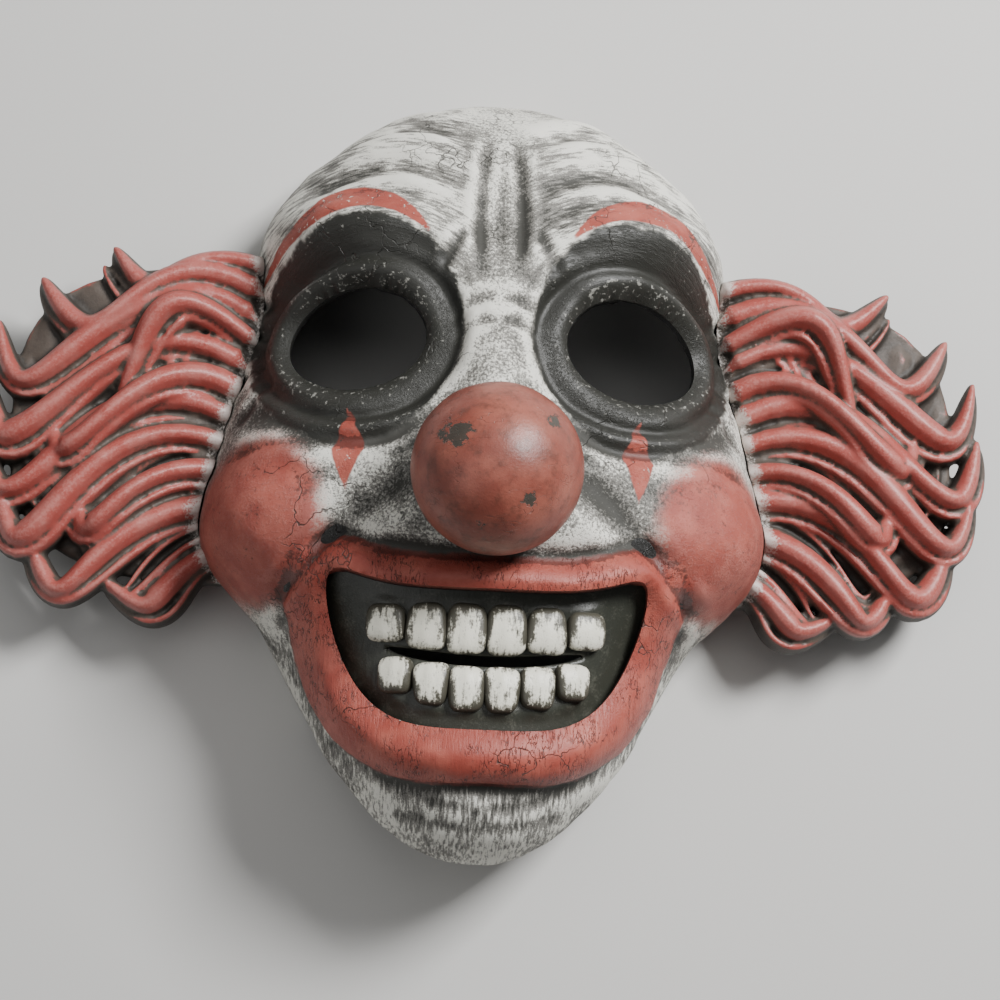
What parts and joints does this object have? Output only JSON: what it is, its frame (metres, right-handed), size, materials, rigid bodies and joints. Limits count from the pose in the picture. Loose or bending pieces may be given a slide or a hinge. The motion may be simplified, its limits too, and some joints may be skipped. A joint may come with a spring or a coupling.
{
  "type": "clown mask",
  "caption": "Hollow full-face clown mask with a ball nose, open eyes, a toothy grin and a tuft of moulded curls at each side.",
  "frame": {"origin": "bottom centre of the bounding box, in the plane of the rim that the mask lies on", "axes": "+Z out of the face, +Y to the forehead, +X to the viewer's right"},
  "size_m": [0.3042, 0.234, 0.1166],
  "materials": {
    "face": "off-white paint dry-brushed over charcoal, matte",
    "teeth": "off-white teeth on a dark gum, satin",
    "nose": "worn brick-red paint, satin",
    "hair": "dusty red ridges over grey-brown recesses, satin"
  },
  "bodies": {
    "root": {"face_shell": "face", "tooth_plate": "teeth", "nose_ball": "nose", "hair_tuft_right": "hair", "hair_tuft_left": "hair"}
  },
  "joints": []
}
